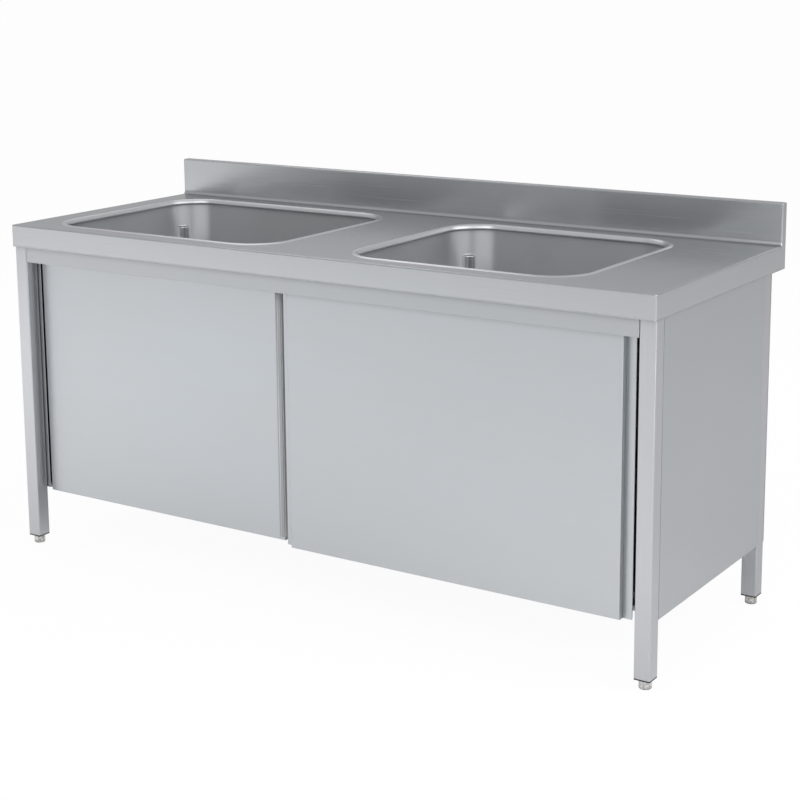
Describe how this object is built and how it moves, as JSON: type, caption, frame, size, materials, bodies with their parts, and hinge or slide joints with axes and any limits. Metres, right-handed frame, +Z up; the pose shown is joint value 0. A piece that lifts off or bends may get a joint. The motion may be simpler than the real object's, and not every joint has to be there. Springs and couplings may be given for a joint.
{
  "type": "kitchen sink unit",
  "caption": "Free-standing stainless steel sink cabinet with two bowls, rear upstand, sliding doors on a top track and adjustable feet.",
  "frame": {"origin": "on the floor under the middle of the unit's bounding box", "axes": "+X to the right along the front, +Y to the back, +Z up; the doors face -Y"},
  "size_m": [1.8, 0.7, 0.95],
  "materials": {
    "worktop_steel": "satin, fine grain along the length",
    "bowl_steel": "satin, fine grain",
    "panel_steel": "satin, fine upright grain",
    "door_steel": "satin, fine level grain",
    "leg_steel": "satin, grain along the tube",
    "inner_steel": "mill finish",
    "foot_steel": "turned",
    "fastener_steel": "bright",
    "polished_pipe": "polished",
    "polished_waste": "polished",
    "black_plastic": "moulded, matt",
    "waste_nut_plastic": "moulded, matt",
    "white_nylon": "turned nylon",
    "black_rubber": "matt",
    "damping_pad": "matt sheet",
    "honeycomb_board": "raw board"
  },
  "bodies": {
    "frame": {"worktop": "worktop_steel", "worktop_stiffeners": "inner_steel", "front_rail": "panel_steel", "rear_rail": "inner_steel", "side_panel_left": "panel_steel", "side_panel_right": "panel_steel", "back_panel": "panel_steel", "bottom_shelf": "panel_steel", "shelf_stiffeners": "inner_steel", "door_track": "inner_steel", "door_guide_rail": "inner_steel", "track_stops": "black_rubber", "worktop_screws": "fastener_steel", "track_screws": "fastener_steel", "back_panel_screws": "fastener_steel", "bowl_left": "bowl_steel", "bowl_pad_left": "damping_pad", "waste_left": "polished_waste", "waste_gaskets_left": "black_rubber", "waste_nut_left": "waste_nut_plastic", "bowl_right": "bowl_steel", "bowl_pad_right": "damping_pad", "waste_right": "polished_waste", "waste_gaskets_right": "black_rubber", "waste_nut_right": "waste_nut_plastic", "leg_front_left": "leg_steel", "leg_plug_front_left": "black_plastic", "leg_front_right": "leg_steel", "leg_plug_front_right": "black_plastic", "leg_rear_left": "leg_steel", "leg_plug_rear_left": "black_plastic", "leg_rear_right": "leg_steel", "leg_plug_rear_right": "black_plastic"},
    "left_door": {"left_door_skin": "door_steel", "left_door_liner": "door_steel", "left_door_core": "honeycomb_board", "left_door_hangers": "inner_steel", "left_door_fasteners": "fastener_steel", "left_door_guide_arms": "inner_steel", "left_door_guide_pegs": "white_nylon"},
    "right_door": {"right_door_skin": "door_steel", "right_door_liner": "door_steel", "right_door_core": "honeycomb_board", "right_door_hangers": "inner_steel", "right_door_fasteners": "fastener_steel", "right_door_guide_arms": "inner_steel", "right_door_guide_pegs": "white_nylon"},
    "left_door_roller_a_body": {"left_door_roller_a": "white_nylon"},
    "left_door_roller_b_body": {"left_door_roller_b": "white_nylon"},
    "standpipe_left_body": {"standpipe_left": "polished_pipe", "standpipe_seal_left": "black_rubber"},
    "right_door_roller_a_body": {"right_door_roller_a": "white_nylon"},
    "right_door_roller_b_body": {"right_door_roller_b": "white_nylon"},
    "standpipe_right_body": {"standpipe_right": "polished_pipe", "standpipe_seal_right": "black_rubber"},
    "foot_front_left_body": {"foot_front_left": "foot_steel"},
    "foot_front_right_body": {"foot_front_right": "foot_steel"},
    "foot_rear_left_body": {"foot_rear_left": "foot_steel"},
    "foot_rear_right_body": {"foot_rear_right": "foot_steel"}
  },
  "joints": [
    {"name": "left_door_slide", "type": "slide", "parent": "frame", "child": "left_door", "axis": [1, 0, 0], "range_m": [0, 0.919]},
    {"name": "right_door_slide", "type": "slide", "parent": "frame", "child": "right_door", "axis": [-1, 0, 0], "range_m": [0, 0.795]},
    {"name": "left_door_roller_a_spin", "type": "hinge", "parent": "left_door", "child": "left_door_roller_a_body", "pos_m": [-0.782, -0.298, 0.7726], "axis": [0, 1, 0], "range_deg": [0, 6583]},
    {"name": "left_door_roller_b_spin", "type": "hinge", "parent": "left_door", "child": "left_door_roller_b_body", "pos_m": [-0.137, -0.298, 0.7726], "axis": [0, 1, 0], "range_deg": [0, 6583]},
    {"name": "right_door_roller_a_spin", "type": "hinge", "parent": "right_door", "child": "right_door_roller_a_body", "pos_m": [0.018, -0.32, 0.7726], "axis": [0, -1, 0], "range_deg": [0, 5695]},
    {"name": "right_door_roller_b_spin", "type": "hinge", "parent": "right_door", "child": "right_door_roller_b_body", "pos_m": [0.759, -0.32, 0.7726], "axis": [0, -1, 0], "range_deg": [0, 5695]},
    {"name": "standpipe_left_lift", "type": "slide", "parent": "frame", "child": "standpipe_left_body", "axis": [0, 0, 1], "range_m": [0, 0.42]},
    {"name": "standpipe_right_lift", "type": "slide", "parent": "frame", "child": "standpipe_right_body", "axis": [0, 0, 1], "range_m": [0, 0.42]},
    {"name": "foot_front_left_screw", "type": "slide", "parent": "frame", "child": "foot_front_left_body", "axis": [0, 0, -1], "range_m": [0, 0.03]},
    {"name": "foot_front_right_screw", "type": "slide", "parent": "frame", "child": "foot_front_right_body", "axis": [0, 0, -1], "range_m": [0, 0.03]},
    {"name": "foot_rear_left_screw", "type": "slide", "parent": "frame", "child": "foot_rear_left_body", "axis": [0, 0, -1], "range_m": [0, 0.03]},
    {"name": "foot_rear_right_screw", "type": "slide", "parent": "frame", "child": "foot_rear_right_body", "axis": [0, 0, -1], "range_m": [0, 0.03]}
  ],
  "couplings": [
    {"joint": "left_door_roller_a_spin", "follows": "left_door_slide", "rad_per_m": 125},
    {"joint": "left_door_roller_b_spin", "follows": "left_door_slide", "rad_per_m": 125},
    {"joint": "right_door_roller_a_spin", "follows": "right_door_slide", "rad_per_m": 125},
    {"joint": "right_door_roller_b_spin", "follows": "right_door_slide", "rad_per_m": 125}
  ]
}
